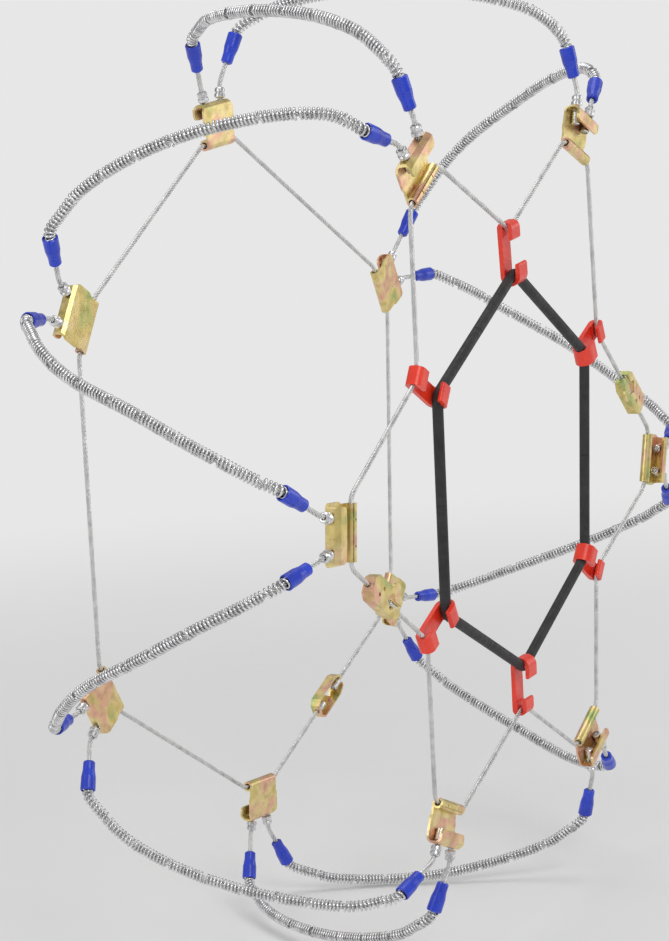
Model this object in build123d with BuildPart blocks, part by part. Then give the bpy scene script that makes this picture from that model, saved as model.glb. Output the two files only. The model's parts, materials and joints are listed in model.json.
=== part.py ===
from build123d import *
import os
from math import sin, cos, tan, radians

# Tire snow chain of the cable type, laid over a 255/55R18 tire of 738 mm diameter.
# Millimetres. Origin at the tire's centre, the wheel axle along Y, the street side
# ("outer") towards -Y, the vehicle side ("inner") towards +Y, +Z up.
# Angles are in degrees and go round the wheel from +X towards +Z.

os.makedirs("parts", exist_ok=True)

# ------------------------------------------------------------------ driving dimensions
OUTER, INNER = -1, 1    # sign of Y on either side of the tire
SIDE_Y = 117.7          # distance of both side cables from the tire's mid plane
SIDE_CABLE_D = 3.6
CROSS_CABLE_D = 4.0

# brackets: six on each side, numbered by their place in these lists
HEM_R = 264.7           # radius from the axle to the middle of a bracket's rolled hem
OUTER_ANGLE = [122.1, 179.5, 240.4, 299.0, 354.3, 62.5]
OUTER_TURN = [1.0, -4.5, 6.0, 1.5, -6.5, 5.5]      # how far each one is turned in its own plane
INNER_ANGLE = [148.0, 210.0, 266.0, 326.0, 28.0, 96.0]

SHEET = 1.8             # a bracket is folded from one strip of sheet
HEM_OD = 8.4
HEM_BORE_D = 5.2
HEM_LEN = 40.0
HEM_EDGE = 8.0          # the outline starts this far behind the hem's middle
HEM_TO_BEND = 4.4       # end of the hem to the corner of the side cable
BRACKET_LEN = 30.5      # hem centre to the outside of the end wall
BRACKET_W = 43.5
BASE_BACK = -HEM_OD / 2     # local Z of the face towards the tire
BASE_CORNER = 2.4       # chamfer between base and end wall
TAB_CORNER = 3.4        # chamfer between end wall and tab
TAB_W = 39.0
TAB_TOP = 7.6
TAB_START = 19.0
TAB_CORNER_R = 4.0
TAB_TRIM_LEN = 30.0
SEAM_Y = 2.2
NOTCH_X = 9.0
NOTCH_Y = 1.2
HOLE_D = 6.0
HOLE_X = 11.5
HOLE_Z = 1.0
EXIT_ANGLE = 12.0       # each cross cable leaves its hole splayed by this much

# crimped fittings on the cross cables
CRIMP_BORE_D = 4.4
STOP_D = 6.6
STOP_LEN = 10.0
STOP_EDGE = 0.7
STOP_BACK = SHEET / 2 + 0.75 + STOP_LEN     # hole centre back to the inside end of the stop
FERRULE_D = 8.4
FERRULE_LEN = 8.0
FERRULE_FRONT = SHEET / 2 + 1.4             # hole centre to the near end of the ferrule
FERRULE_LEAD = 3.0                          # ferrule to the rope's first corner

# blue sleeve
SLEEVE_LEN = 23.5
SLEEVE_D_SMALL = 9.2
SLEEVE_D_LARGE = 11.8
SLEEVE_BORE_D = 5.0
SLEEVE_MOUTH_D = 9.8
SLEEVE_MOUTH_DEPTH = 7.0

# traction coils, drawn as plain tubes
COIL_OD = 8.8
COIL_ID = 5.2
COIL_LEN = 23.6         # spacing of the coil lengths across the tread
COIL_SHORT = 12.6       # spacing round the shoulders
COIL_TIGHT = 7.0        # spacing where a cable bends out of its sleeve
COIL_GAP = 1.6
COIL_BEND_GAP = 0.3     # half the gap left on the inside of a sharper bend
COIL_SEAT = SLEEVE_MOUTH_DEPTH - 1.5    # how far the first coil reaches into the sleeve
BEND_CUT = 2.6          # every bend of the rope starts and ends this far from its corner

# hooks and rubber tensioner; hook i holds the side cable just before outer bracket i
HOOK_CABLE_R = 185.4    # axle to the side cable where a hook holds it
HOOK_RUBBER_R = 151.4   # axle to the rubber ring where a hook holds it
HOOK_CABLE_ANGLE = [90.7, 149.5, 211.6, 271.7, 326.0, 30.0]
HOOK_RUBBER_ANGLE = [89.2, 149.2, 212.7, 271.5, 325.8, 30.9]
RUBBER_D = 8.0
RUBBER_LIFT = 1.3       # rubber ring stands this much further out than the cable
SIDE_BEND = 12.0        # bend radius of the outer side cable
SIDE_HALF_TURN = 24.0   # nominal half angle of its bend at a hook
INNER_BEND = 6.0        # bend radius of the inner side cable
RUBBER_BEND = 9.0
RUBBER_HALF_TURN = 180 / len(HOOK_RUBBER_ANGLE)

HOOK_W = 14.0
STRAP_BACK = -6.6       # strap's faces, measured from the cable towards the street side
STRAP_FRONT = -3.1
CABLE_CURL = 5.5        # outside radii of the two curls
RUBBER_CURL = 7.9
CABLE_LIP = 3.4         # thickness and reach of the lips
CABLE_LIP_REACH = 6.4
RUBBER_LIP = 3.6
RUBBER_LIP_REACH = 7.2
HOOK_CLEARANCE = 0.25
CLEARANCE_RUN = 22.0    # length of the clearance on each side of a hook's bend

# cable fasteners: local X along the cable towards the hooked rope, Z away from the tire
FAST_LEN = 45.0
FAST_W = 20.0
FAST_SHEET = 1.6
FAST_BACK = -3.6
FAST_FACE = 5.2
FAST_POS = [50.8, 56.8] # from the bend at the bracket's hem to the middle of the plate
SLOT_W = SIDE_CABLE_D + 0.9
WING_X = 11.0
END_D = 6.4
END_BORE_D = 4.0
END_LEN = 10.0
END_EDGE = 0.8
# middle of the plate to a rope's end; its crimp stops 0.5 short of the end wall
ROPE_IN = FAST_LEN / 2 - FAST_SHEET - 0.5 - END_LEN

# centre line of a cross cable over the tire: (distance along, Y, radius)
STATIONS = [
    (104.4, -110.3, 343.2), (119.7, -98.5, 353.6), (135.1, -85.2, 361.3), (150.1, -70.9, 365.8),
    (178.8, -42.6, 370.6), (221.5, 0.0, 373.1), (264.2, 42.6, 370.6), (292.9, 70.9, 365.8),
    (307.9, 85.2, 361.3), (323.3, 98.5, 353.6), (338.6, 110.3, 343.2)]

# cross cables: outer bracket, inner bracket, turning direction, and the cable's angle
# round the wheel at each of the distances in ANGLE_AT
ANGLE_AT = [104.4, 163.0, 221.5, 280.0, 338.6]
CROSS = [
    (0, 0, 1, [128.6, 131.0, 133.6, 137.2, 142.6]),
    (0, 5, -1, [118.2, 113.6, 110.2, 106.6, 101.4]),
    (1, 1, 1, [183.0, 187.0, 191.4, 196.2, 204.4]),
    (1, 0, -1, [173.0, 168.6, 164.4, 160.4, 153.4]),
    (2, 2, 1, [244.6, 247.8, 251.6, 255.4, 260.6]),
    (2, 1, -1, [234.8, 230.0, 226.2, 222.2, 215.6]),
    (3, 3, 1, [304.4, 308.0, 312.4, 316.4, 320.6]),
    (3, 2, -1, [294.0, 288.6, 283.0, 277.6, 271.4]),
    (4, 4, 1, [357.9, 363.4, 369.4, 375.2, 382.6]),
    (4, 3, -1, [347.5, 343.6, 340.0, 336.2, 331.4]),
    (5, 5, 1, [69.0, 73.8, 79.0, 84.2, 90.6]),
    (5, 4, -1, [58.4, 52.8, 46.8, 41.0, 33.4])]
DROP = [6.0, 0.0, 0.0, 0.0, 0.0, 8.0]    # how much nearer the axle an outer bracket's sleeves end


# ------------------------------------------------------------------ shared helpers
def polar(radius, angle, y):
    a = radians(angle)
    return Vector(radius * cos(a), y, radius * sin(a))


def along(origin, direction):
    """Location whose local +Z points in the given direction."""
    return Plane(origin=origin, z_dir=direction).location


def save(part, name):
    part.label = name
    export_step(part, f"parts/{name}.step")


def save_copies(name, form, locations):
    """Write one piece made of a form placed at each location."""
    with BuildPart() as copies:
        for location in locations:
            with Locations(location):
                add(form)
    save(copies.part, name)


def turned_form(profile):
    """Solid of revolution about local Z from a closed (radius, height) profile."""
    with BuildPart() as form:
        with BuildSketch(Plane.XZ):
            with BuildLine():
                Polyline(*profile, close=True)
            make_face()
        revolve(axis=Axis.Z)
    return form.part


def hermite(start, end, start_slope, end_slope, u, gap):
    """Cubic from start (u = 0) to end (u = 1), with slopes given per unit of the gap."""
    return (start * (2 * u**3 - 3 * u**2 + 1) + start_slope * ((u**3 - 2 * u**2 + u) * gap)
            + end * (-2 * u**3 + 3 * u**2) + end_slope * ((u**3 - u**2) * gap))


# ------------------------------------------------------------------ bracket frames
def bracket_plane(angle, side, turn=0.0):
    """Local frame of a bracket: X along the hem, Y out across the sidewall, Z away from the tire."""
    outward = polar(1, angle + turn, 0)
    normal = Vector(0, side, 0)
    return Plane(origin=polar(HEM_R, angle, side * SIDE_Y), x_dir=outward.cross(normal), z_dir=normal)


def hem_forward(plane):
    """Direction along a bracket's hem that points to increasing angle round the wheel."""
    return plane.x_dir * plane.z_dir.Y


def hem_bends(plane):
    """Where the side cable bends just outside a bracket's hem, lower angle first."""
    reach = hem_forward(plane) * (HEM_LEN / 2 + HEM_TO_BEND)
    return plane.origin - reach, plane.origin + reach


outer_planes = [bracket_plane(a, OUTER, turn) for a, turn in zip(OUTER_ANGLE, OUTER_TURN)]
inner_planes = [bracket_plane(a, INNER) for a in INNER_ANGLE]


# ------------------------------------------------------------------ bracket, in its local frame
def make_bracket():
    wall_y = BRACKET_LEN
    section = [
        (0, BASE_BACK), (wall_y - BASE_CORNER, BASE_BACK), (wall_y, BASE_BACK + BASE_CORNER),
        (wall_y, TAB_TOP - TAB_CORNER), (wall_y - TAB_CORNER, TAB_TOP), (TAB_START, TAB_TOP),
        (TAB_START, TAB_TOP - SHEET), (wall_y - TAB_CORNER - 0.6, TAB_TOP - SHEET),
        (wall_y - SHEET, TAB_TOP - 4.0), (wall_y - SHEET, BASE_BACK + 3.0),
        (wall_y - 3.0, BASE_BACK + SHEET), (0, BASE_BACK + SHEET)]
    half_outline = [
        (HEM_LEN / 2, -HEM_EDGE), (HEM_LEN / 2, 9), (BRACKET_W / 2, 12),
        (BRACKET_W / 2, wall_y - 5), (BRACKET_W / 2 - 4, wall_y + 1)]
    with BuildPart() as bracket:
        # section through the strip: rolled hem, base, end wall, tab folded back over the base
        with BuildSketch(Plane.YZ):
            with BuildLine():
                Polyline(*section, close=True)
            make_face()
            Circle(HEM_OD / 2)
            Circle(HEM_BORE_D / 2, mode=Mode.SUBTRACT)
        extrude(amount=BRACKET_W / 2, both=True)
        # outline seen along Z: narrower at the hem, corners cut at the end wall
        with BuildSketch(Plane.XY.offset(-20)):
            with BuildLine():
                Polyline(*half_outline, *[(-x, y) for x, y in reversed(half_outline)], close=True)
            make_face()
        extrude(amount=40, mode=Mode.INTERSECT)
        # the folded tab is narrower than the base, with round corners
        with BuildSketch(Plane.XY.offset(1.0)):
            Rectangle(80, 80)
            with Locations((0, TAB_START + TAB_TRIM_LEN / 2)):
                RectangleRounded(TAB_W, TAB_TRIM_LEN, TAB_CORNER_R, mode=Mode.SUBTRACT)
            with Locations((0, -6)):
                Rectangle(80, 24, mode=Mode.SUBTRACT)
        extrude(amount=20, mode=Mode.SUBTRACT)
        # seam of the rolled hem on the side away from the tire, with two crimp notches
        with Locations((0, SEAM_Y, HEM_OD / 2 - 0.7)):
            Box(HEM_LEN + 2, 0.6, 2.2, mode=Mode.SUBTRACT)
        with Locations((-NOTCH_X, NOTCH_Y, HEM_OD / 2), (NOTCH_X, NOTCH_Y, HEM_OD / 2)):
            Box(1.2, 4.2, 1.6, mode=Mode.SUBTRACT)
        # one splayed hole for each cross cable
        splay = radians(EXIT_ANGLE)
        for side in (-1, 1):
            with BuildSketch(Plane(origin=(side * HOLE_X, wall_y - SHEET / 2, HOLE_Z),
                                   x_dir=(0, 0, 1), z_dir=(side * sin(splay), cos(splay), 0))):
                Circle(HOLE_D / 2)
            extrude(amount=3.5, both=True, mode=Mode.SUBTRACT)
    return bracket.part


# ------------------------------------------------------------------ turned forms, along local +Z
def make_crimp(bore_d, outside_d, length, edge):
    """Plain tube with both outside edges chamfered."""
    bore, outside = bore_d / 2, outside_d / 2
    return turned_form([
        (bore, 0), (outside - edge, 0), (outside, edge), (outside, length - edge),
        (outside - edge, length), (bore, length)])


def make_ferrule():
    bore, outside = CRIMP_BORE_D / 2, FERRULE_D / 2
    groove = outside - 0.9
    return turned_form([
        (bore, 0), (outside - 0.8, 0), (outside, 0.8), (outside, 3.0), (groove, 3.7),
        (groove, 4.2), (outside - 0.3, 4.9), (outside - 0.3, 7.0), (outside - 1.1, FERRULE_LEN),
        (bore, FERRULE_LEN)])


def make_sleeve():
    """Sleeve that widens from the bracket's end to an open mouth at the coil's end."""
    bore, small, large = SLEEVE_BORE_D / 2, SLEEVE_D_SMALL / 2, SLEEVE_D_LARGE / 2
    mouth, mouth_floor = SLEEVE_MOUTH_D / 2, SLEEVE_LEN - SLEEVE_MOUTH_DEPTH
    return turned_form([
        (bore, 0), (small - 1.0, 0), (small, 1.0), (small + 0.1, 7.0), (large - 0.2, 12.5),
        (large, SLEEVE_LEN - 0.8), (large - 0.8, SLEEVE_LEN), (mouth, SLEEVE_LEN),
        (mouth, mouth_floor), (bore, mouth_floor - 2)])


bracket_form = make_bracket()
stop_form = make_crimp(CRIMP_BORE_D, STOP_D, STOP_LEN, STOP_EDGE)
ferrule_form = make_ferrule()
sleeve_form = make_sleeve()


# ------------------------------------------------------------------ paths of the cross cables
class CableEnd:
    """One end of a cross cable, from the stop inside its bracket to the first coil corner.

    It leaves the bracket towards increasing (toward = 1) or decreasing (toward = -1) angle,
    and its sleeve ends at sleeve_end. All directions point away from the bracket."""

    def __init__(self, plane, toward, sleeve_end):
        splay = radians(EXIT_ANGLE)
        sideways = hem_forward(plane) * toward
        hole = (plane.origin + sideways * HOLE_X + plane.y_dir * (BRACKET_LEN - SHEET / 2)
                + plane.z_dir * HOLE_Z)
        self.direction = sideways * sin(splay) + plane.y_dir * cos(splay)
        self.stop_start = hole - self.direction * STOP_BACK
        self.ferrule_start = hole + self.direction * FERRULE_FRONT
        self.bend = self.ferrule_start + self.direction * (FERRULE_LEN + FERRULE_LEAD)
        # the sleeve is stiff, so the rope is straight inside it
        self.sleeve_direction = (sleeve_end - self.bend).normalized()
        self.sleeve_start = sleeve_end - self.sleeve_direction * SLEEVE_LEN
        self.coil_start = sleeve_end - self.sleeve_direction * COIL_SEAT
        # the first coil length stands in the sleeve's mouth, so it keeps the sleeve's direction
        self.coil_corner = sleeve_end + self.sleeve_direction * (COIL_TIGHT / 2)


def angle_at(angles, distance):
    """Smooth interpolation through the five angles of a cross cable."""
    k = 0
    while k < 3 and distance > ANGLE_AT[k + 1]:
        k += 1

    def slope(i):
        low, high = max(i - 1, 0), min(i + 1, len(ANGLE_AT) - 1)
        return (angles[high] - angles[low]) / (ANGLE_AT[high] - ANGLE_AT[low])

    gap = ANGLE_AT[k + 1] - ANGLE_AT[k]
    u = (distance - ANGLE_AT[k]) / gap
    return hermite(angles[k], angles[k + 1], slope(k), slope(k + 1), u, gap)


def smooth_points(points, first, last, count=10):
    """Points on a smooth curve through the given ones, with the end directions given."""
    gaps = [(q - p).length for p, q in zip(points, points[1:])]
    slopes = [first]
    for i in range(1, len(points) - 1):
        back = (points[i] - points[i - 1]) / gaps[i - 1]
        fore = (points[i + 1] - points[i]) / gaps[i]
        slopes.append((back * gaps[i] + fore * gaps[i - 1]) / (gaps[i - 1] + gaps[i]))
    slopes.append(last)
    found = []
    for start, end, start_slope, end_slope, gap in zip(points, points[1:], slopes, slopes[1:], gaps):
        for j in range(count):
            found.append(hermite(start, end, start_slope, end_slope, j / count, gap))
    return [*found, points[-1]]


def point_along(points, distance):
    for start, end in zip(points, points[1:]):
        step = (end - start).length
        if distance <= step:
            return start + (end - start) * (distance / step)
        distance -= step
    return points[-1]


def rope_line(corners, cut):
    """Straight lengths joined by tangent arcs, as line and arc edges of the open BuildLine."""
    here = corners[0]
    for before, corner, after in zip(corners, corners[1:], corners[2:]):
        back, fore = (before - corner).normalized(), (after - corner).normalized()
        start, finish = corner + back * cut, corner + fore * cut
        half = radians(back.get_angle(fore) / 2)
        middle = corner + (back + fore).normalized() * (cut / cos(half) - cut * sin(half) / cos(half))
        Line(here, start)
        ThreePointArc(start, middle, finish)
        here = finish
    Line(here, corners[-1])


def cross_path(outer, inner, toward, angles):
    """Both ends, the rope's wire and the end points of the coil lengths of one cross cable."""
    points = [polar(radius, angle_at(angles, distance), y) for distance, y, radius in STATIONS]
    _, first_y, first_radius = STATIONS[0]
    points[0] = polar(first_radius - DROP[outer], angles[0], first_y - DROP[outer] / 4)
    outer_end = CableEnd(outer_planes[outer], toward, points[0])
    inner_end = CableEnd(inner_planes[inner], -toward, points[-1])
    tread = smooth_points(points, outer_end.sleeve_direction, inner_end.sleeve_direction * -1)
    length = sum((q - p).length for p, q in zip(tread, tread[1:]))

    shoulder = [COIL_TIGHT, COIL_TIGHT, COIL_SHORT, COIL_SHORT, COIL_SHORT]
    middle = length - COIL_TIGHT - 2 * sum(shoulder)
    middle_count = round(middle / COIL_LEN)
    steps = shoulder + [middle / middle_count] * middle_count + shoulder[::-1]
    corners = [outer_end.coil_corner]
    distance = COIL_TIGHT / 2
    for step in steps[:-1]:
        distance += step
        corners.append(point_along(tread, distance))
    corners.append(inner_end.coil_corner)

    with BuildLine() as rope:
        rope_line([outer_end.stop_start, outer_end.bend, *corners, inner_end.bend,
                   inner_end.stop_start], BEND_CUT)
    return dict(outer=outer, outer_end=outer_end, inner_end=inner_end, wire=rope.wires()[0],
                coil_points=[outer_end.coil_start, *corners, inner_end.coil_start])


cross_paths = [cross_path(*row) for row in CROSS]


# ------------------------------------------------------------------ brackets with their fittings
def save_fittings(side_name, ends, suffix=""):
    save_copies(f"{side_name}_cable_stops{suffix}", stop_form,
                [along(end.stop_start, end.direction) for end in ends])
    save_copies(f"{side_name}_ferrules{suffix}", ferrule_form,
                [along(end.ferrule_start, end.direction) for end in ends])
    save_copies(f"{side_name}_sleeves{suffix}", sleeve_form,
                [along(end.sleeve_start, end.sleeve_direction) for end in ends])


for i in range(6):
    save_copies(f"outer_bracket_{i + 1}", bracket_form, [outer_planes[i].location])
    save_fittings("outer", [path["outer_end"] for path in cross_paths if path["outer"] == i],
                  f"_{i + 1}")

for i in range(6):
    save_copies(f"inner_bracket_{i + 1}", bracket_form, [inner_planes[i].location])
save_fittings("inner", [path["inner_end"] for path in cross_paths])


# ------------------------------------------------------------------ cross cables and traction coils
def save_cross_cables(name, paths):
    with BuildPart() as cables:
        for path in paths:
            start = path["outer_end"]
            with BuildLine() as rope:
                add(path["wire"])
            with BuildSketch(Plane(origin=start.stop_start, z_dir=start.direction)) as rope_face:
                Circle(CROSS_CABLE_D / 2)
            sweep(sections=rope_face.sketch, path=rope.wires()[0])
    save(cables.part, name)


def coil_tube(start, end, start_room, end_room):
    """Straight tube between two points, kept clear of each by its room."""
    direction = (end - start).normalized()
    with BuildPart() as tube:
        with BuildSketch(Plane(origin=start + direction * start_room, z_dir=direction)):
            Circle(COIL_OD / 2)
            Circle(COIL_ID / 2, mode=Mode.SUBTRACT)
        extrude(amount=(end - start).length - start_room - end_room)
    return tube.part.solids()[0]


def coil_tubes(points):
    """One straight tube on each straight length of rope."""
    # neighbouring lengths keep a gap that grows with the bend between them
    room = [0.0]
    for before, corner, after in zip(points, points[1:], points[2:]):
        bend = radians((corner - before).get_angle(after - corner))
        room.append(max(COIL_GAP / 2, COIL_OD / 2 * tan(bend / 2) + COIL_BEND_GAP))
    room.append(0.0)
    return [coil_tube(*ends) for ends in zip(points, points[1:], room, room[1:])]


def save_coils(name, paths):
    tubes = []
    for path in paths:
        tubes.extend(coil_tubes(path["coil_points"]))
    with BuildPart() as coils:
        add(tubes)
    save(coils.part, name)


for i in range(6):
    bracket_paths = [path for path in cross_paths if path["outer"] == i]
    save_cross_cables(f"cross_cables_{i + 1}", bracket_paths)
    save_coils(f"traction_coils_{i + 1}", bracket_paths)


# ------------------------------------------------------------------ side cables
def save_side_cable(name, points, bend_radius):
    with BuildLine() as centre_line:
        FilletPolyline(*points, radius=bend_radius)
    wire = centre_line.wires()[0]
    with BuildPart() as cable:
        with BuildLine():
            add(wire)
        with BuildSketch(Plane(origin=points[0], z_dir=points[1] - points[0])) as cable_face:
            Circle(SIDE_CABLE_D / 2)
        sweep(sections=cable_face.sketch, path=wire)
    save(cable.part, name)


# a corner lies beyond its rounded bend, which is what touches the hook
cable_corner_lift = SIDE_BEND * (1 / cos(radians(SIDE_HALF_TURN)) - 1)
hook_bends = [polar(HOOK_CABLE_R - cable_corner_lift, a, -SIDE_Y) for a in HOOK_CABLE_ANGLE]
outer_bends = [hem_bends(plane) for plane in outer_planes]
inner_bends = [hem_bends(plane) for plane in inner_planes]


def outer_fastener_axis(bracket, position):
    """Middle and direction of the fastener between an outer bracket and the next hook."""
    start = outer_bends[bracket][1]
    direction = (hook_bends[bracket + 1] - start).normalized()
    return start + direction * position, direction


def outer_cable_points(start_axis, stations, end_axis):
    """Corners of a cable from one fastener to the other, past a hook and bracket per station."""
    points = [start_axis[0] + start_axis[1] * ROPE_IN]
    for station in stations:
        points += [hook_bends[station], *outer_bends[station]]
    return [*points, end_axis[0] - end_axis[1] * ROPE_IN]


outer_axis_1 = outer_fastener_axis(1, FAST_POS[0])
outer_axis_2 = outer_fastener_axis(4, FAST_POS[1])
save_side_cable("outer_side_cable_lower",
                outer_cable_points(outer_axis_1, (2, 3, 4), outer_axis_2), SIDE_BEND)
save_side_cable("outer_side_cable_upper",
                outer_cable_points(outer_axis_2, (5, 0, 1), outer_axis_1), SIDE_BEND)

# the inner cable runs once round; its ends meet in a fastener between inner brackets 3 and 4
inner_gap_start, inner_gap_end = inner_bends[2][1], inner_bends[3][0]
inner_direction = (inner_gap_end - inner_gap_start).normalized()
inner_middle = (inner_gap_start + inner_gap_end) * 0.5
inner_points = [inner_middle + inner_direction * ROPE_IN]
for i in (3, 4, 5, 0, 1, 2):
    inner_points += inner_bends[i]
inner_points.append(inner_middle - inner_direction * ROPE_IN)
save_side_cable("inner_side_cable", inner_points, INNER_BEND)

# ------------------------------------------------------------------ rubber ring
ring_corner_lift = RUBBER_BEND * (1 / cos(radians(RUBBER_HALF_TURN)) - 1)
ring_corners = [polar(HOOK_RUBBER_R + ring_corner_lift, a, -(SIDE_Y + RUBBER_LIFT))
                for a in HOOK_RUBBER_ANGLE]


def save_rubber_ring():
    with BuildLine() as ring_line:
        FilletPolyline(*ring_corners, radius=RUBBER_BEND, close=True)
    with BuildPart() as ring:
        wire = ring_line.wires()[0]
        with BuildSketch(Plane(origin=wire @ 0, z_dir=wire % 0)) as ring_face:
            Circle(RUBBER_D / 2)
        sweep(sections=ring_face.sketch, path=wire)
    save(ring.part, "rubber_tensioner_ring")


save_rubber_ring()


# ------------------------------------------------------------------ red hooks
def bend_run(before, corner, after, bend_radius):
    """Wire of a short length of cable or ring round one of its corners."""
    with BuildLine() as run:
        FilletPolyline(corner + (before - corner).normalized() * CLEARANCE_RUN, corner,
                       corner + (after - corner).normalized() * CLEARANCE_RUN, radius=bend_radius)
    return run.wires()[0]


def save_hook(i):
    hold = polar(HOOK_CABLE_R, HOOK_CABLE_ANGLE[i], -SIDE_Y)
    ring_hold = polar(HOOK_RUBBER_R, HOOK_RUBBER_ANGLE[i], -SIDE_Y)
    span = (hold - ring_hold).length
    outward = (hold - ring_hold).normalized()
    street = Vector(0, -1, 0)
    cable_run = bend_run(outer_bends[i - 1][1], hook_bends[i], outer_bends[i][0], SIDE_BEND)
    ring_run = bend_run(ring_corners[i - 1], ring_corners[i], ring_corners[(i + 1) % 6],
                        RUBBER_BEND)
    # lips on the street side: root X, tip X, street face, thickness
    lips = [(0, -CABLE_LIP_REACH, CABLE_CURL, CABLE_LIP),
            (-span, -span + RUBBER_LIP_REACH, RUBBER_LIFT + RUBBER_CURL, RUBBER_LIP)]
    with BuildPart() as hook:
        # drawn with X outward along the hook from the cable, Y towards the street side
        with BuildSketch(Plane(origin=hold, x_dir=outward, z_dir=outward.cross(street))):
            with Locations((-span / 2, (STRAP_BACK + STRAP_FRONT) / 2)):
                Rectangle(span, STRAP_FRONT - STRAP_BACK)
            Circle(CABLE_CURL)
            # thickening between the cable's curl and the strap
            with Locations((1.1, -2.2)):
                Circle(4.4)
            with Locations((-span, RUBBER_LIFT)):
                Circle(RUBBER_CURL)
            # lips that come back towards each other
            for root, tip, face, thickness in lips:
                with Locations(((root + tip) / 2, face - thickness / 2)):
                    Rectangle(abs(tip - root), thickness)
                with Locations((tip, face - thickness / 2)):
                    Circle(thickness / 2)
            # mouths of the two curls
            with Locations((-5.0, 0)):
                Rectangle(14.6, SIDE_CABLE_D + 0.9, mode=Mode.SUBTRACT)
            with Locations((-span + 5.0, RUBBER_LIFT)):
                Rectangle(10.2, RUBBER_D + 1.0, mode=Mode.SUBTRACT)
        extrude(amount=HOOK_W / 2, both=True)
        # clearance along the side cable, then along the rubber ring
        for run, diameter in ((cable_run, SIDE_CABLE_D), (ring_run, RUBBER_D)):
            with BuildSketch(Plane(origin=run @ 0, z_dir=run % 0)) as clearance:
                Circle(diameter / 2 + HOOK_CLEARANCE)
            sweep(sections=clearance.sketch, path=run, mode=Mode.SUBTRACT)
    save(hook.part, f"red_hook_{i + 1}")


for i in range(6):
    save_hook(i)


# ------------------------------------------------------------------ cable fasteners
def plate_corners(half_len, half_width, end_half_width, anchored_taper, hooked_taper):
    """Plate outline that narrows over a taper length at each end."""
    upper = [(half_len, end_half_width), (half_len - hooked_taper, half_width),
             (-half_len + anchored_taper, half_width), (-half_len, end_half_width)]
    return [(x, -y) for x, y in reversed(upper)] + upper


def make_fastener():
    half = FAST_LEN / 2
    depth = FAST_FACE - FAST_BACK
    with BuildPart() as fastener:
        with BuildSketch(Plane.XY.offset(FAST_BACK)):
            with BuildLine():
                Polyline(*plate_corners(half, FAST_W / 2, 6.0, 5, 7), close=True)
            make_face()
        extrude(amount=depth)
        # hollow, open towards the tire
        with BuildSketch(Plane.XY.offset(FAST_BACK)):
            with BuildLine():
                Polyline(*plate_corners(half - FAST_SHEET, FAST_W / 2 - FAST_SHEET, 5.2, 4.4, 6.2),
                         close=True)
            make_face()
        extrude(amount=depth - FAST_SHEET, mode=Mode.SUBTRACT)
        # grip wing beside the keyhole
        with BuildSketch(Plane.XY.offset(FAST_FACE - FAST_SHEET)):
            with Locations((WING_X, FAST_W / 2 - 1.0)):
                Circle(6.5)
            with Locations((WING_X, 0)):
                Rectangle(20, FAST_W - 4, mode=Mode.SUBTRACT)
        extrude(amount=FAST_SHEET)
        # keyhole: a diamond opening that lets the crimped end in, and the slot that holds it;
        # two small round holes towards the anchored end
        with BuildSketch(Plane.XY.offset(FAST_FACE - 4)):
            with Locations((7.5, 0)):
                Rectangle(10.5, 10.5, rotation=45)
            with Locations((half - 8, 0)):
                Rectangle(18, SLOT_W)
            with Locations((-7.5, 3.4), (-12.0, -2.6)):
                Circle(1.5)
        extrude(amount=8, mode=Mode.SUBTRACT)
        # mouth in the end wall for the hooked rope, and a round hole for the anchored one
        with Locations((half, 0, 1.5)):
            Box(6, SLOT_W, 12, mode=Mode.SUBTRACT)
        with BuildSketch(Plane.YZ.offset(-half - 2)):
            Circle(SIDE_CABLE_D / 2 + 0.5)
        extrude(amount=6, mode=Mode.SUBTRACT)
    return fastener.part


fastener_form = make_fastener()
rope_end_form = make_crimp(END_BORE_D, END_D, END_LEN, END_EDGE)

# name, middle, direction towards the hooked rope, side of the tire
fasteners = [("outer_fastener_plate_1", *outer_axis_1, OUTER),
             ("outer_fastener_plate_2", *outer_axis_2, OUTER),
             ("inner_fastener_plate", inner_middle, inner_direction, INNER)]
for name, middle, direction, side in fasteners:
    save_copies(name, fastener_form,
                [Plane(origin=middle, x_dir=direction, z_dir=(0, side, 0)).location])

# crimped ends: on each fastener one rope is anchored and the other is hooked into the keyhole
save_copies("hooked_rope_ends", rope_end_form,
            [along(middle + direction * ROPE_IN, direction)
             for _, middle, direction, _ in fasteners])
save_copies("anchored_rope_ends", rope_end_form,
            [along(middle - direction * ROPE_IN, direction * -1)
             for _, middle, direction, _ in fasteners])
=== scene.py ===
import json
import math
import bpy
import numpy as np
from mathutils import Matrix, Vector

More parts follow.
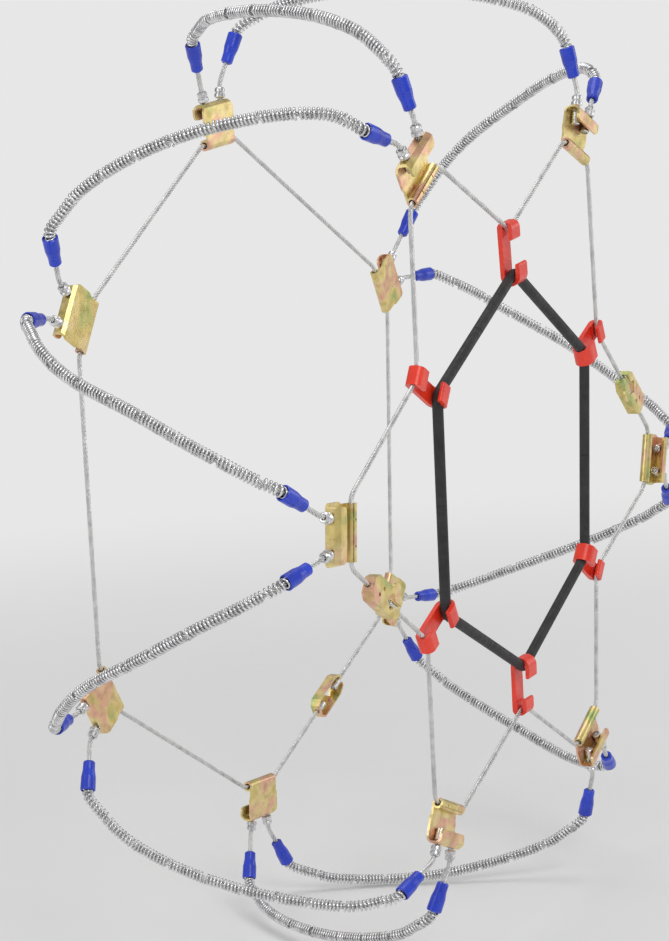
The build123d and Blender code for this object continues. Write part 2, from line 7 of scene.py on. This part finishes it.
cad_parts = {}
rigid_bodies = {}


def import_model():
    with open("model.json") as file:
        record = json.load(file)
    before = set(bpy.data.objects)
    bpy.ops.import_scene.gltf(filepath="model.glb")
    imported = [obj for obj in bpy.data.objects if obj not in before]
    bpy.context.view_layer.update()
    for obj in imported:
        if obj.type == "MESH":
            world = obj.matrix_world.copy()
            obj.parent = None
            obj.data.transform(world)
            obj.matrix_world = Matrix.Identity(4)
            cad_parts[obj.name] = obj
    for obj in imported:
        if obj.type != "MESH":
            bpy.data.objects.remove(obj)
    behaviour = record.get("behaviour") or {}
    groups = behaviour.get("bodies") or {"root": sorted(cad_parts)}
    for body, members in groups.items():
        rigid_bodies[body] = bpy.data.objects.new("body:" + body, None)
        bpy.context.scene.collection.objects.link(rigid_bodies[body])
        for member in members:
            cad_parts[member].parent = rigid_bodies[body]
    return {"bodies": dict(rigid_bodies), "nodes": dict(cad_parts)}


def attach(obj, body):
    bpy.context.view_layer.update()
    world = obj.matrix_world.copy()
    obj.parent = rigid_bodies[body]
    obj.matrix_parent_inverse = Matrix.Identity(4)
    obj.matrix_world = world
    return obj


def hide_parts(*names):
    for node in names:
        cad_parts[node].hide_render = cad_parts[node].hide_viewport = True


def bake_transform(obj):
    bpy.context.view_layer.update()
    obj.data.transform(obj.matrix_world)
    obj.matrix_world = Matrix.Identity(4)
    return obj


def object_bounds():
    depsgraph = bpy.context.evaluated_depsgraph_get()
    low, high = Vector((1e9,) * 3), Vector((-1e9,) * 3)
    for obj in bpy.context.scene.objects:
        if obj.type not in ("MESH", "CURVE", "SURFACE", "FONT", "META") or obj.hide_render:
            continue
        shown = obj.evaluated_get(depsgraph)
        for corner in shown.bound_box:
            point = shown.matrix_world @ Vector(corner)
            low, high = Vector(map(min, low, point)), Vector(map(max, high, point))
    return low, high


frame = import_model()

first_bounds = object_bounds()
bodies, nodes = frame["bodies"], frame["nodes"]
rng = np.random.default_rng(7)
MM = 0.001

# ------------------------------------------------------------------ layout, the same numbers as the CAD part (mm, degrees)
SIDE_Y, HEM_R = 117.7, 264.7
OUTER_ANGLE = [122.1, 179.5, 240.4, 299.0, 354.3, 62.5]
OUTER_TURN = [1.0, -4.5, 6.0, 1.5, -6.5, 5.5]
INNER_ANGLE = [148.0, 210.0, 266.0, 326.0, 28.0, 96.0]
TILT = 0.0
SHEET, HEM_LEN, BRACKET_LEN = 1.8, 40.0, 30.5
HOLE_X, HOLE_Z, EXIT_ANGLE = 11.5, 1.0, 12.0
STOP_LEN, FERRULE_LEN, SLEEVE_LEN, SLEEVE_MOUTH = 10.0, 8.0, 23.5, 7.0
HOOK_CABLE_R, HOOK_RUBBER_R = 185.4, 151.4
HOOK_CABLE_ANGLE = [90.7, 149.5, 211.6, 271.7, 326.0, 30.0]
HOOK_RUBBER_ANGLE = [89.2, 149.2, 212.7, 271.5, 325.8, 30.9]
RUBBER_D, RUBBER_LIFT, RUBBER_BEND, SIDE_BEND = 8.0, 1.3, 9.0, 12.0
FAST_LEN, FAST_SHEET, FAST_POS, END_LEN = 45.0, 1.6, [50.8, 56.8], 10.0
STATIONS = [
    (104.4, -110.3, 343.2), (119.7, -98.5, 353.6), (135.1, -85.2, 361.3), (150.1, -70.9, 365.8),
    (178.8, -42.6, 370.6), (221.5, 0.0, 373.1), (264.2, 42.6, 370.6), (292.9, 70.9, 365.8),
    (307.9, 85.2, 361.3), (323.3, 98.5, 353.6), (338.6, 110.3, 343.2)]
CROSS = [
    (0, 0, 1, [128.6, 131.0, 133.6, 137.2, 142.6]), (0, 5, -1, [118.2, 113.6, 110.2, 106.6, 101.4]),
    (1, 1, 1, [183.0, 187.0, 191.4, 196.2, 204.4]), (1, 0, -1, [173.0, 168.6, 164.4, 160.4, 153.4]),
    (2, 2, 1, [244.6, 247.8, 251.6, 255.4, 260.6]), (2, 1, -1, [234.8, 230.0, 226.2, 222.2, 215.6]),
    (3, 3, 1, [304.4, 308.0, 312.4, 316.4, 320.6]), (3, 2, -1, [294.0, 288.6, 283.0, 277.6, 271.4]),
    (4, 4, 1, [357.9, 363.4, 369.4, 375.2, 382.6]), (4, 3, -1, [347.5, 343.6, 340.0, 336.2, 331.4]),
    (5, 5, 1, [69.0, 73.8, 79.0, 84.2, 90.6]), (5, 4, -1, [58.4, 52.8, 46.8, 41.0, 33.4])]
ANGLE_AT = [104.4, 163.0, 221.5, 280.0, 338.6]
DROP = [6.0, 0.0, 0.0, 0.0, 0.0, 8.0]


def unit(v):
    v = np.asarray(v, float)
    return v / np.linalg.norm(v)


def polar(r, a, y):
    a = math.radians(a)
    return np.array([r * math.cos(a), y, r * math.sin(a)])


def bracket_frame(angle, side, turn=0.0):
    a, k = math.radians(angle + turn), math.radians(TILT)
    out = np.array([math.cos(a), 0, math.sin(a)])
    n = np.array([0, side, 0.0])
    t = np.cross(out, n)
    return polar(HEM_R, angle, side * SIDE_Y), out * math.cos(k) + n * math.sin(k), n * math.cos(k) - out * math.sin(k), t


outer_frames = [bracket_frame(a, -1, b) for a, b in zip(OUTER_ANGLE, OUTER_TURN)]
inner_frames = [bracket_frame(a, 1) for a in INNER_ANGLE]


def turning_sign(f):
    c, out, n, t = f
    return 1.0 if np.dot(t, [-c[2], 0, c[0]]) > 0 else -1.0


def cable_exit(f, toward):
    c, out, n, t = f
    s = turning_sign(f) * toward
    e = math.radians(EXIT_ANGLE)
    return c + t * (s * HOLE_X) + out * (BRACKET_LEN - SHEET / 2) + n * HOLE_Z, t * (s * math.sin(e)) + out * math.cos(e)


def angle_at(v, d):
    k = 0
    while k < 3 and d > ANGLE_AT[k + 1]:
        k += 1

    def slope(i):
        if i == 0:
            return (v[1] - v[0]) / (ANGLE_AT[1] - ANGLE_AT[0])
        if i == 4:
            return (v[4] - v[3]) / (ANGLE_AT[4] - ANGLE_AT[3])
        return (v[i + 1] - v[i - 1]) / (ANGLE_AT[i + 1] - ANGLE_AT[i - 1])
    h = ANGLE_AT[k + 1] - ANGLE_AT[k]
    u = (d - ANGLE_AT[k]) / h
    return ((2 * u**3 - 3 * u**2 + 1) * v[k] + (u**3 - 2 * u**2 + u) * h * slope(k)
            + (-2 * u**3 + 3 * u**2) * v[k + 1] + (u**3 - u**2) * h * slope(k + 1))


def spline(points, t0, t1, step=1.0):
    """Clamped cubic through the points, parametrised by chord length, sampled about every step mm."""
    p = np.array(points, float)
    d = np.r_[0, np.cumsum(np.linalg.norm(np.diff(p, axis=0), axis=1))]
    n = len(p)
    h = np.diff(d)
    a = np.zeros((n, n))
    b = np.zeros((n, 3))
    a[0, 0] = a[-1, -1] = 1
    b[0], b[-1] = t0, t1
    for i in range(1, n - 1):
        a[i, i - 1], a[i, i], a[i, i + 1] = h[i], 2 * (h[i] + h[i - 1]), h[i - 1]
        b[i] = 3 * (h[i] * (p[i] - p[i - 1]) / h[i - 1] + h[i - 1] * (p[i + 1] - p[i]) / h[i])
    m = np.linalg.solve(a, b)
    out = []
    for i in range(n - 1):
        for u in np.linspace(0, 1, max(2, int(h[i] / step)), endpoint=False):
            out.append((2 * u**3 - 3 * u**2 + 1) * p[i] + (u**3 - 2 * u**2 + u) * h[i] * m[i]
                       + (-2 * u**3 + 3 * u**2) * p[i + 1] + (u**3 - u**2) * h[i] * m[i + 1])
    out.append(p[-1])
    return np.array(out)


class Path:
    """A centre line with a frame that doesn't twist, looked up by distance along it in mm."""

    def __init__(self, pts, closed=False):
        p = np.array(pts, float)
        keep = np.r_[True, np.linalg.norm(np.diff(p, axis=0), axis=1) > 1e-6]
        p = p[keep]
        self.p = p
        self.d = np.r_[0, np.cumsum(np.linalg.norm(np.diff(p, axis=0), axis=1))]
        self.length = self.d[-1]
        t = np.gradient(p, self.d, axis=0)
        if closed:
            t[0] = t[-1] = unit(t[0] + t[-1])
        self.t = t / np.linalg.norm(t, axis=1)[:, None]
        n = np.zeros_like(p)
        g = np.array([0, 1.0, 0]) if abs(self.t[0][1]) < 0.8 else np.array([1.0, 0, 0])
        n[0] = unit(g - self.t[0] * np.dot(g, self.t[0]))
        for i in range(1, len(p)):
            v = n[i - 1] - self.t[i] * np.dot(n[i - 1], self.t[i])
            n[i] = unit(v)
        self.n = n

    def at(self, d):
        d = np.asarray(d, float)
        f = lambda a: np.stack([np.interp(d, self.d, a[:, k]) for k in range(3)], -1)
        p, t, n = f(self.p), f(self.t), f(self.n)
        t /= np.linalg.norm(t, axis=-1, keepdims=True)
        n -= t * (n * t).sum(-1, keepdims=True)
        n /= np.linalg.norm(n, axis=-1, keepdims=True)
        return p, t, n, np.cross(t, n)


def tube_mesh(centres, radius, sides, ridge=0.0, ridges=0, closed=False, spin=0.0):
    """Verts and faces of a round cord along centres (mm). radius may vary along it."""
    path = Path(centres, closed)
    c, t, n = path.p, path.t, path.n
    b = np.cross(t, n)
    r = np.broadcast_to(np.asarray(radius, float), (len(c),)) if np.ndim(radius) else np.full(len(c), radius)
    a = np.linspace(0, 2 * math.pi, sides, endpoint=False) + spin
    rr = np.ones(sides) + (ridge * np.cos(a * ridges) if ridges else 0)
    ring = (np.cos(a) * rr)[None, :, None] * n[:, None, :] + (np.sin(a) * rr)[None, :, None] * b[:, None, :]
    v = c[:, None, :] + ring * r[:, None, None]
    k = len(c)
    v = v.reshape(-1, 3)
    i, j = np.meshgrid(np.arange(k - 1), np.arange(sides), indexing="ij")
    j2 = (j + 1) % sides
    f = np.stack([i * sides + j, i * sides + j2, (i + 1) * sides + j2, (i + 1) * sides + j], -1).reshape(-1, 4)
    caps = [list(range(sides))[::-1], list(range((k - 1) * sides, k * sides))]
    return v, f, caps


def join(parts):
    vs, fs, caps, o = [], [], [], 0
    for v, f, c in parts:
        vs.append(v)
        fs.append(f + o)
        caps += [[x + o for x in q] for q in c]
        o += len(v)
    return np.concatenate(vs), np.concatenate(fs), caps


def make(name, v, f, caps, material, smooth=True):
    me = bpy.data.meshes.new(name)
    loops = np.concatenate([f.reshape(-1)] + [np.array(q) for q in caps]) if caps else f.reshape(-1)
    starts = np.r_[np.arange(len(f)) * 4, len(f) * 4 + np.cumsum([0] + [len(q) for q in caps[:-1]])] if caps else np.arange(len(f)) * 4
    me.vertices.add(len(v))
    me.vertices.foreach_set("co", (v * MM).astype(np.float32).ravel())
    me.loops.add(len(loops))
    me.loops.foreach_set("vertex_index", loops.astype(np.int32))
    me.polygons.add(len(starts))
    me.polygons.foreach_set("loop_start", starts.astype(np.int32))
    me.update(calc_edges=True)
    me.validate()
    me.polygons.foreach_set("use_smooth", np.ones(len(me.polygons), bool) if smooth else np.zeros(len(me.polygons), bool))
    me.update()
    ob = bpy.data.objects.new(name, me)
    bpy.context.scene.collection.objects.link(ob)
    me.materials.append(material)
    return ob


# ------------------------------------------------------------------ materials
def new_material(name):
    m = bpy.data.materials.new(name)
    m.use_nodes = True
    nt = m.node_tree
    bsdf = nt.nodes["Principled BSDF"]
    tc = nt.nodes.new("ShaderNodeTexCoord")
    return m, nt, bsdf, tc.outputs["Object"]


def noise(nt, co, scale, detail=4.0, rough=0.55, distortion=0.0):
    n = nt.nodes.new("ShaderNodeTexNoise")
    n.inputs["Scale"].default_value = scale
    n.inputs["Detail"].default_value = detail
    n.inputs["Roughness"].default_value = rough
    n.inputs["Distortion"].default_value = distortion
    nt.links.new(co, n.inputs["Vector"])
    return n.outputs["Fac"]


def ramp(nt, fac, stops):
    r = nt.nodes.new("ShaderNodeValToRGB")
    while len(r.color_ramp.elements) < len(stops):
        r.color_ramp.elements.new(0.5)
    for e, (p, c) in zip(r.color_ramp.elements, stops):
        e.position = p
        e.color = (*c, 1) if len(c) == 3 else c
    nt.links.new(fac, r.inputs["Fac"])
    return r.outputs["Color"]


def map_range(nt, fac, a, b, lo=0.3, hi=0.7):
    r = nt.nodes.new("ShaderNodeMapRange")
    r.inputs["From Min"].default_value = lo
    r.inputs["From Max"].default_value = hi
    r.inputs["To Min"].default_value = a
    r.inputs["To Max"].default_value = b
    nt.links.new(fac, r.inputs["Value"])
    return r.outputs["Result"]


def bump(nt, bsdf, fac, strength, distance):
    b = nt.nodes.new("ShaderNodeBump")
    b.inputs["Strength"].default_value = strength
    b.inputs["Distance"].default_value = distance
    nt.links.new(fac, b.inputs["Height"])
    nt.links.new(b.outputs["Normal"], bsdf.inputs["Normal"])


def metal(name, dark, light, r0, r1, scale=220.0, bump_strength=0.15, edge=None):
    m, nt, bsdf, co = new_material(name)
    n1 = noise(nt, co, scale)
    nt.links.new(ramp(nt, n1, [(0.3, dark), (0.62, light)]), bsdf.inputs["Base Color"])
    bsdf.inputs["Metallic"].default_value = 1.0
    nt.links.new(map_range(nt, noise(nt, co, scale * 2.7), r0, r1), bsdf.inputs["Roughness"])
    bump(nt, bsdf, noise(nt, co, scale * 6), bump_strength, 0.00005)
    return m


def plastic(name, dark, light, r0, r1, coat=0.15):
    m, nt, bsdf, co = new_material(name)
    nt.links.new(ramp(nt, noise(nt, co, 60.0), [(0.3, dark), (0.7, light)]), bsdf.inputs["Base Color"])
    nt.links.new(map_range(nt, noise(nt, co, 300.0, 6.0), r0, r1), bsdf.inputs["Roughness"])
    bsdf.inputs["Coat Weight"].default_value = coat
    bsdf.inputs["Coat Roughness"].default_value = 0.25
    bump(nt, bsdf, noise(nt, co, 900.0, 3.0), 0.12, 0.00008)
    return m


def zinc():
    """Yellow passivated zinc: gold with drifting pink and green film colours."""
    m, nt, bsdf, co = new_material("gold_zinc")
    film = noise(nt, co, 34.0, 2.0, 0.45, 0.6)
    colour = ramp(nt, film, [(0.28, (0.46, 0.56, 0.22)), (0.40, (0.80, 0.64, 0.24)), (0.50, (0.90, 0.74, 0.36)),
                             (0.60, (0.88, 0.50, 0.36)), (0.72, (0.74, 0.60, 0.24))])
    grime = ramp(nt, noise(nt, co, 140.0, 6.0), [(0.32, (0.55, 0.50, 0.44)), (0.55, (1, 1, 1))])
    mix = nt.nodes.new("ShaderNodeMix")
    mix.data_type = "RGBA"
    mix.blend_type = "MULTIPLY"
    mix.inputs["Factor"].default_value = 0.55
    nt.links.new(colour, mix.inputs["A"])
    nt.links.new(grime, mix.inputs["B"])
    nt.links.new(mix.outputs["Result"], bsdf.inputs["Base Color"])
    bsdf.inputs["Metallic"].default_value = 0.92
    nt.links.new(map_range(nt, noise(nt, co, 180.0, 5.0), 0.26, 0.44), bsdf.inputs["Roughness"])
    bump(nt, bsdf, noise(nt, co, 700.0, 4.0), 0.12, 0.00006)
    return m


GOLD = zinc()
BLUE = plastic("blue_plastic", (0.008, 0.030, 0.44), (0.016, 0.060, 0.68), 0.24, 0.40, 0.3)
RED = plastic("red_plastic", (0.78, 0.026, 0.010), (0.95, 0.052, 0.018), 0.26, 0.42, 0.25)
COIL = metal("coil_steel", (0.48, 0.48, 0.49), (0.88, 0.88, 0.89), 0.14, 0.30, 160.0, 0.08)
CRIMP = metal("crimp_steel", (0.50, 0.50, 0.51), (0.84, 0.84, 0.85), 0.22, 0.40, 300.0)
ROPE = metal("wire_rope", (0.60, 0.60, 0.60), (0.82, 0.82, 0.81), 0.32, 0.48, 120.0, 0.05)
m, nt, bsdf, co = new_material("black_rubber")
nt.links.new(ramp(nt, noise(nt, co, 80.0, 5.0), [(0.3, (0.012, 0.012, 0.013)), (0.7, (0.030, 0.030, 0.032))]), bsdf.inputs["Base Color"])
nt.links.new(map_range(nt, noise(nt, co, 240.0), 0.48, 0.68), bsdf.inputs["Roughness"])
bump(nt, bsdf, noise(nt, co, 1200.0), 0.2, 0.00008)
RUBBER = m

# ------------------------------------------------------------------ CAD nodes that stay visible
GROUPS = [("bracket", GOLD, 0.35), ("fastener", GOLD, 0.3), ("sleeves", BLUE, 0.5), ("red_hook", RED, 1.1),
          ("stops", CRIMP, 0.25), ("ferrules", CRIMP, 0.3), ("rope_ends", CRIMP, 0.3)]
for name, ob in nodes.items():
    for key, material, width in GROUPS:
        if key in name:
            for s in ob.material_slots:
                s.material = material
            if not ob.material_slots:
                ob.data.materials.append(material)
            bev = ob.modifiers.new("edge", "BEVEL")
            bev.width = width * MM
            bev.segments = 3
            bev.limit_method = "ANGLE"
            bev.angle_limit = math.radians(35)
            bev.harden_normals = False
            break

# ------------------------------------------------------------------ cross cables and their coils
BARE_FROM = SHEET / 2 + 1.4 + FERRULE_LEN
STOP_BACK = SHEET / 2 + 0.75 + STOP_LEN


def rope(path, d0, d1, r_strand, r_lay, lay, strands=6, step=1.2, sides=6, core=True):
    d = np.arange(d0, d1 + 1e-6, step)
    p, t, n, b = path.at(d)
    parts = []
    for s in range(strands):
        a = 2 * math.pi * (d / lay + s / strands)
        parts.append(tube_mesh(p + r_lay * (np.cos(a)[:, None] * n + np.sin(a)[:, None] * b), r_strand, sides))
    if core:
        parts.append(tube_mesh(p, r_strand * 1.02, sides))
    return join(parts)


def coil(path, runs, r_mid=3.45, r_wire=0.98):
    """Spring wire wound round the path over each run (start, end, pitch)."""
    parts = []
    for d0, d1, pitch in runs:
        turns = max(2.0, (d1 - d0) / pitch)
        k = int(turns * 18)
        u = np.linspace(0, 1, k)
        d = d0 + (d1 - d0) * u
        a = 2 * math.pi * (turns * u + rng.random())
        wob = 1 + 0.02 * np.sin(a * 0.37 + rng.random() * 6)
        p, t, n, b = path.at(d)
        r = r_mid * wob
        # the last quarter turn of each length lifts a little, as a cut spring end does
        tail = np.clip((u * turns - (turns - 0.35)) / 0.35, 0, 1) + np.clip((0.35 - u * turns) / 0.35, 0, 1)
        r = r + 0.45 * tail
        c = p + r[:, None] * (np.cos(a)[:, None] * n + np.sin(a)[:, None] * b)
        parts.append(tube_mesh(c, r_wire, 7))
    return join(parts)


for index, (io, ii, turn, angles) in enumerate(CROSS):
    hole_o, dir_o = cable_exit(outer_frames[io], turn)
    hole_i, dir_i = cable_exit(inner_frames[ii], -turn)
    pts = [polar(r, angle_at(angles, d), y) for d, y, r in STATIONS]
    pts[0] = polar(STATIONS[0][2] - DROP[io], angles[0], STATIONS[0][1] - DROP[io] / 4)
    a0, a1 = hole_o - dir_o * STOP_BACK, hole_o + dir_o * BARE_FROM
    b0, b1 = hole_i - dir_i * STOP_BACK, hole_i + dir_i * BARE_FROM
    so = unit(pts[0] - (a1 + dir_o * 3.0))
    si = unit(pts[-1] - (b1 + dir_i * 3.0))
    o0, i0 = pts[0] - so * SLEEVE_LEN, pts[-1] - si * SLEEVE_LEN
    line = np.concatenate([
        np.linspace(a0, a1, 16), spline([a1, o0], dir_o, so, 0.8), np.linspace(o0, pts[0], 24),
        spline(pts, so, -si, 1.0), np.linspace(pts[-1], i0, 24), spline([i0, b1], -si, -dir_i, 0.8), np.linspace(b1, b0, 16)])
    path = Path(line)
    # distances of the sleeve mouths along the whole path
    near = lambda q: path.d[np.argmin(np.linalg.norm(path.p - q, axis=1))]
    m0, m1 = near(pts[0]), near(pts[-1])
    number = io + 1
    side = "a" if turn > 0 else "b"
    v, f, c = rope(path, 0.3, path.length - 0.3, 0.66, 1.30, 22.0, step=1.4, sides=6)
    cable = make(f"cross_rope_{number}{side}", v, f, c, ROPE)
    runs = []
    d, end = m0 - 5.0, m1 + 5.0
    first = True
    while d < end - 8:
        length = 24.0 + 9.0 * rng.random()
        if first:
            length = 22.0
        stop = min(d + length, end)
        if end - stop < 14:
            stop = end
        pitch = 3.4 if (first or stop == end) else 2.75 + 0.3 * rng.random()
        runs.append((d, stop - 1.2, pitch))
        d = stop + 0.5
        first = False
    v, f, c = coil(path, runs)
    spring = make(f"traction_coil_{number}{side}", v, f, c, COIL)
    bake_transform(cable)
    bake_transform(spring)
    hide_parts(f"cross_cables_{number}")
    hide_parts(f"traction_coils_{number}")


# ------------------------------------------------------------------ side cables
def fillet_line(points, radius, closed=False, step=0.8):
    p = [np.array(q, float) for q in points]
    n = len(p)
    out = []
    idx = range(n) if closed else range(1, n - 1)
    if not closed:
        out.append(p[0])
    for i in idx:
        a, c, b = p[(i - 1) % n], p[i], p[(i + 1) % n]
        u, w = unit(a - c), unit(b - c)
        half = math.acos(np.clip(np.dot(u, w), -1, 1)) / 2
        cut = radius / math.tan(half)
        if cut < 1e-4:
            out.append(c)
            continue
        centre = c + unit(u + w) * (radius / math.sin(half))
        s, e = c + u * cut, c + w * cut
        sweep = math.pi - 2 * half
        k = max(3, int(radius * sweep / step))
        v0, v1 = s - centre, e - centre
        for q in range(k + 1):
            x = q / k
            out.append(centre + (math.sin((1 - x) * sweep) * v0 + math.sin(x * sweep) * v1) / math.sin(sweep))
    if not closed:
        out.append(p[-1])
    else:
        out.append(out[0])
    dense = [out[0]]
    for a, b in zip(out[:-1], out[1:]):
        k = max(1, int(np.linalg.norm(b - a) / 2.0))
        for q in range(1, k + 1):
            dense.append(a + (b - a) * q / k)
    return np.array(dense)


def hem_bends(f):
    c, out, n, t = f
    s, reach = turning_sign(f), HEM_LEN / 2 + 4.4
    return c - t * (s * reach), c + t * (s * reach)


lift = SIDE_BEND * (1 / math.cos(math.radians(24.0)) - 1)
hook_bend = [polar(HOOK_CABLE_R - lift, a, -SIDE_Y) for a in HOOK_CABLE_ANGLE]
bends = [hem_bends(f) for f in outer_frames]
fast_axis = []
for s_p, e_p, pos in ((bends[1][1], hook_bend[2], FAST_POS[0]), (bends[4][1], hook_bend[5], FAST_POS[1])):
    d = unit(e_p - s_p)
    fast_axis.append((s_p + d * pos, d))
rope_in = FAST_LEN / 2 - FAST_SHEET - 0.5 - END_LEN
lower = [fast_axis[0][0] + fast_axis[0][1] * rope_in, hook_bend[2], *bends[2], hook_bend[3], *bends[3], hook_bend[4],
         *bends[4], fast_axis[1][0] - fast_axis[1][1] * rope_in]
upper = [fast_axis[1][0] + fast_axis[1][1] * rope_in, hook_bend[5], *bends[5], hook_bend[0], *bends[0], hook_bend[1],
         *bends[1], fast_axis[0][0] - fast_axis[0][1] * rope_in]
ib = [hem_bends(f) for f in inner_frames]
in_mid, in_dir = (ib[2][1] + ib[3][0]) / 2, unit(ib[3][0] - ib[2][1])
inner = [in_mid + in_dir * rope_in, *ib[3], *ib[4], *ib[5], *ib[0], *ib[1], *ib[2], in_mid - in_dir * rope_in]
for name, node, points, radius in (("side_rope_lower", "outer_side_cable_lower", lower, SIDE_BEND),
                                   ("side_rope_upper", "outer_side_cable_upper", upper, SIDE_BEND),
                                   ("inner_rope", "inner_side_cable", inner, 6.0)):
    path = Path(fillet_line(points, radius))
    v, f, c = rope(path, 0.0, path.length, 0.60, 1.18, 19.0, step=1.1, sides=6)
    ob = make(name, v, f, c, ROPE)
    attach(ob, "chain")
    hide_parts(node)

# ------------------------------------------------------------------ rubber ring, one length per hook
rise = RUBBER_BEND * (1 / math.cos(math.radians(30.0)) - 1)
corner = [polar(HOOK_RUBBER_R + rise, a, -(SIDE_Y + RUBBER_LIFT)) for a in HOOK_RUBBER_ANGLE]
for i in range(6):
    c0 = corner[i]
    before, after = (corner[(i - 1) % 6] + c0) / 2, (corner[(i + 1) % 6] + c0) / 2
    line = fillet_line([before, c0, after], RUBBER_BEND)
    v, f, c = tube_mesh(line, RUBBER_D / 2 * 0.985, 64, ridge=0.022, ridges=16)
    ob = make(f"rubber_cord_{i + 1}", v, f, c, RUBBER)
    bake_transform(ob)
    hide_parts("rubber_tensioner_ring")

# ------------------------------------------------------------------ stage
def stage_plane(name, verts, colour, rough):
    me = bpy.data.meshes.new(name)
    me.from_pydata(verts, [], [list(range(len(verts)))])
    ob = bpy.data.objects.new(name, me)
    bpy.context.scene.collection.objects.link(ob)
    m, nt, bsdf, co = new_material(name)
    nt.links.new(ramp(nt, noise(nt, co, 3.0), [(0.3, colour), (0.7, tuple(min(1, c * 1.03) for c in colour))]), bsdf.inputs["Base Color"])
    bsdf.inputs["Roughness"].default_value = rough
    me.materials.append(m)
    return ob


low = min(v[2] for v in (first_bounds[0],)) - 0.002
floor = stage_plane("floor", [(-8, -8, low), (8, -8, low), (8, 8, low), (-8, 8, low)], (0.86, 0.86, 0.86), 0.8)
fnt = floor.data.materials[0].node_tree
ftc = fnt.nodes.new("ShaderNodeTexCoord")
flen = fnt.nodes.new("ShaderNodeVectorMath")
flen.operation = "LENGTH"
fnt.links.new(ftc.outputs["Object"], flen.inputs[0])
fade = fnt.nodes.new("ShaderNodeMapRange")
fade.interpolation_type = "SMOOTHSTEP"
fade.inputs["From Min"].default_value = 0.45
fade.inputs["From Max"].default_value = 2.4
fnt.links.new(flen.outputs["Value"], fade.inputs["Value"])
glow = fnt.nodes.new("ShaderNodeEmission")
glow.inputs["Color"].default_value = (0.80, 0.80, 0.80, 1)
fmix = fnt.nodes.new("ShaderNodeMixShader")
fnt.links.new(fade.outputs["Result"], fmix.inputs["Fac"])
fnt.links.new(fnt.nodes["Principled BSDF"].outputs["BSDF"], fmix.inputs[1])
fnt.links.new(glow.outputs["Emission"], fmix.inputs[2])
fnt.links.new(fmix.outputs["Shader"], fnt.nodes["Material Output"].inputs["Surface"])

world = bpy.data.worlds.new("studio")
bpy.context.scene.world = world
world.use_nodes = True
wnt = world.node_tree
bg = wnt.nodes["Background"]
grad = wnt.nodes.new("ShaderNodeTexGradient")
tcw = wnt.nodes.new("ShaderNodeTexCoord")
sep = wnt.nodes.new("ShaderNodeSeparateXYZ")
wr = wnt.nodes.new("ShaderNodeValToRGB")
wr.color_ramp.elements[0].position = 0.35
wr.color_ramp.elements[0].color = (0.26, 0.26, 0.27, 1)
wr.color_ramp.elements[1].position = 0.75
wr.color_ramp.elements[1].color = (1.0, 1.0, 1.0, 1)
mr = wnt.nodes.new("ShaderNodeMapRange")
mr.inputs["From Min"].default_value = -1
wnt.links.new(tcw.outputs["Generated"], sep.inputs["Vector"])
wnt.links.new(sep.outputs["Z"], mr.inputs["Value"])
wnt.links.new(mr.outputs["Result"], wr.inputs["Fac"])
wnt.links.new(wr.outputs["Color"], bg.inputs["Color"])
bg.inputs["Strength"].default_value = 0.45
seen = wnt.nodes.new("ShaderNodeBackground")
seen.inputs["Color"].default_value = (0.80, 0.80, 0.80, 1)
ray = wnt.nodes.new("ShaderNodeLightPath")
pick = wnt.nodes.new("ShaderNodeMixShader")
wnt.links.new(ray.outputs["Is Camera Ray"], pick.inputs["Fac"])
wnt.links.new(bg.outputs["Background"], pick.inputs[1])
wnt.links.new(seen.outputs["Background"], pick.inputs[2])
wnt.links.new(pick.outputs["Shader"], wnt.nodes["World Output"].inputs["Surface"])


def area(name, loc, target, size, power, colour=(1, 1, 1)):
    l = bpy.data.lights.new(name, "AREA")
    l.shape = "RECTANGLE"
    l.size, l.size_y = size
    l.energy = power
    l.color = colour
    o = bpy.data.objects.new(name, l)
    bpy.context.scene.collection.objects.link(o)
    o.location = loc
    o.rotation_mode = "QUATERNION"
    o.rotation_quaternion = (Vector(target) - Vector(loc)).to_track_quat("-Z", "Y")
    return o


area("key", (-1.6, -1.9, 1.9), (0, 0, 0), (1.4, 1.4), 24)
area("fill", (1.9, -1.7, 0.7), (0, 0, 0), (1.6, 1.2), 9)
area("side", (-2.2, 0.9, 0.9), (0, 0, 0), (1.2, 1.2), 9)
area("top", (0.2, 0.2, 2.4), (0, 0, 0), (1.6, 1.6), 14)

# ------------------------------------------------------------------ camera, matched to the product's viewing angle
cam_data = bpy.data.cameras.new("camera")
cam = bpy.data.objects.new("camera", cam_data)
bpy.context.scene.collection.objects.link(cam)
CAM = Vector((-1.6374, -0.8780, 0.2689))
right = Vector((0.5714, -0.8172, -0.0760)).normalized()
back = Vector((-0.7726, -0.5668, 0.2860)).normalized()
up = back.cross(right).normalized()
right = up.cross(back).normalized()
cam.matrix_world = Matrix((
    (right.x, up.x, back.x, CAM.x), (right.y, up.y, back.y, CAM.y), (right.z, up.z, back.z, CAM.z), (0, 0, 0, 1)))
cam_data.sensor_fit = "AUTO"
cam_data.sensor_width = 36
cam_data.lens = 2295.85 * 36 / 941
cam_data.clip_start, cam_data.clip_end = 0.05, 50
# the lens is shifted only in this one view: seen from anywhere else it points straight ahead
for prop, amount in (("shift_x", (334.5 - 82.35) / 941), ("shift_y", (832.66 - 470.5) / 941)):
    drv = cam_data.driver_add(prop).driver
    drv.type = "SCRIPTED"
    var = drv.variables.new()
    var.name = "x"
    var.type = "TRANSFORMS"
    var.targets[0].id = cam
    var.targets[0].transform_type = "LOC_X"
    var.targets[0].transform_space = "WORLD_SPACE"
    drv.expression = f"{amount:.5f} if abs(x - {CAM.x:.5f}) < 0.0005 else 0.0"
bpy.context.scene.camera = cam
bpy.context.scene.view_settings.view_transform = "Standard"
